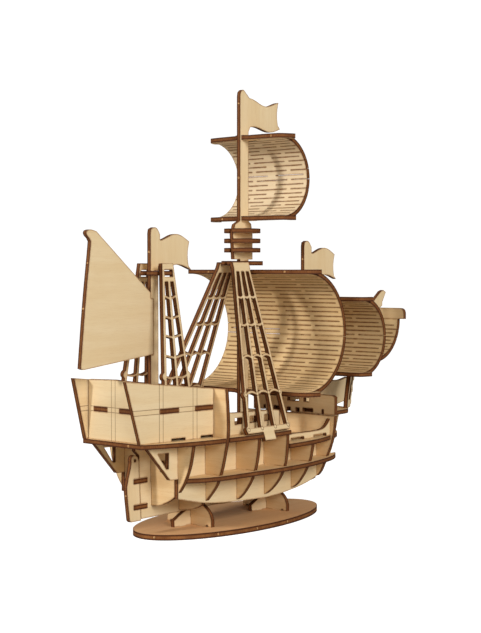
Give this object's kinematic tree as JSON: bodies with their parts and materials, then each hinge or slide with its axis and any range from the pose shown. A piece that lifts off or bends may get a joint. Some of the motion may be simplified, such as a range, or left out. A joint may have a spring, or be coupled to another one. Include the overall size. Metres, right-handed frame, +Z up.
{
  "type": "wooden 3d jigsaw model",
  "caption": "Slot-together plywood galleon with kerf-bent square sails, a triangular aft sail and ladder shrouds, standing on an oval base with crossed cradle plates.",
  "frame": {"origin": "centre of the flat underside of the oval base", "axes": "+X towards the bow, +Y to port, +Z up; the X-Z plane is the plane of symmetry"},
  "size_m": [0.268, 0.098, 0.245],
  "materials": {
    "plywood_panel": "pale basswood veneer, matt, edges burnt dark brown",
    "plywood_frame": "pale basswood veneer, matt, edges burnt dark brown",
    "plywood_sail": "pale basswood veneer with cut bending slits, matt",
    "plywood_base": "basswood veneer, matt, edge burnt dark brown"
  },
  "bodies": {
    "stand": {"base_plate": "plywood_base", "stand_aft_cross": "plywood_frame", "stand_aft_rib": "plywood_frame", "stand_fore_cross": "plywood_frame", "stand_fore_rib": "plywood_frame"},
    "ship": {"keel_plate": "plywood_panel", "side_plate_starboard": "plywood_panel", "side_plate_port": "plywood_panel", "frame_1": "plywood_frame", "frame_2": "plywood_frame", "frame_3": "plywood_frame", "frame_4": "plywood_frame", "frame_5": "plywood_frame", "frame_6": "plywood_frame", "wale_starboard": "plywood_panel", "wale_port": "plywood_panel", "stern_deck": "plywood_panel", "waist_deck": "plywood_panel", "fore_deck": "plywood_panel", "bow_deck": "plywood_panel", "forecastle_deck": "plywood_panel", "transom": "plywood_panel", "castle_side_starboard": "plywood_panel", "castle_side_port": "plywood_panel", "castle_deck": "plywood_panel", "bulwark_aft_starboard": "plywood_panel", "bulwark_aft_port": "plywood_panel", "bulwark_fore_starboard": "plywood_panel", "bulwark_fore_port": "plywood_panel", "forecastle_wall": "plywood_panel", "rudder": "plywood_panel", "rudder_strap_upper": "plywood_panel", "rudder_strap_lower": "plywood_panel", "main_mast": "plywood_panel", "nest_disc_lower": "plywood_panel", "nest_disc_middle": "plywood_panel", "nest_disc_upper": "plywood_panel", "main_crosstree": "plywood_panel", "mizzen_mast": "plywood_panel", "lateen_sail": "plywood_sail", "mizzen_crosstree": "plywood_panel", "main_shroud_starboard": "plywood_panel", "main_shroud_port": "plywood_panel", "mizzen_shroud_starboard": "plywood_panel", "mizzen_shroud_port": "plywood_panel", "fore_mast": "plywood_panel", "course_sail": "plywood_sail", "course_yard_upper": "plywood_panel", "course_yard_lower": "plywood_panel", "topsail": "plywood_sail", "topsail_yard_upper": "plywood_panel", "topsail_yard_lower": "plywood_panel", "fore_sail": "plywood_sail", "fore_yard_upper": "plywood_panel", "fore_yard_lower": "plywood_panel", "bowsprit": "plywood_panel", "sprit_yard": "plywood_panel", "sprit_sail": "plywood_sail", "bow_stay_starboard": "plywood_panel", "bow_stay_port": "plywood_panel"}
  },
  "joints": [
    {"name": "ship_lift", "type": "slide", "parent": "stand", "child": "ship", "axis": [0, 0, 1], "range_m": [0, 0.05]}
  ]
}
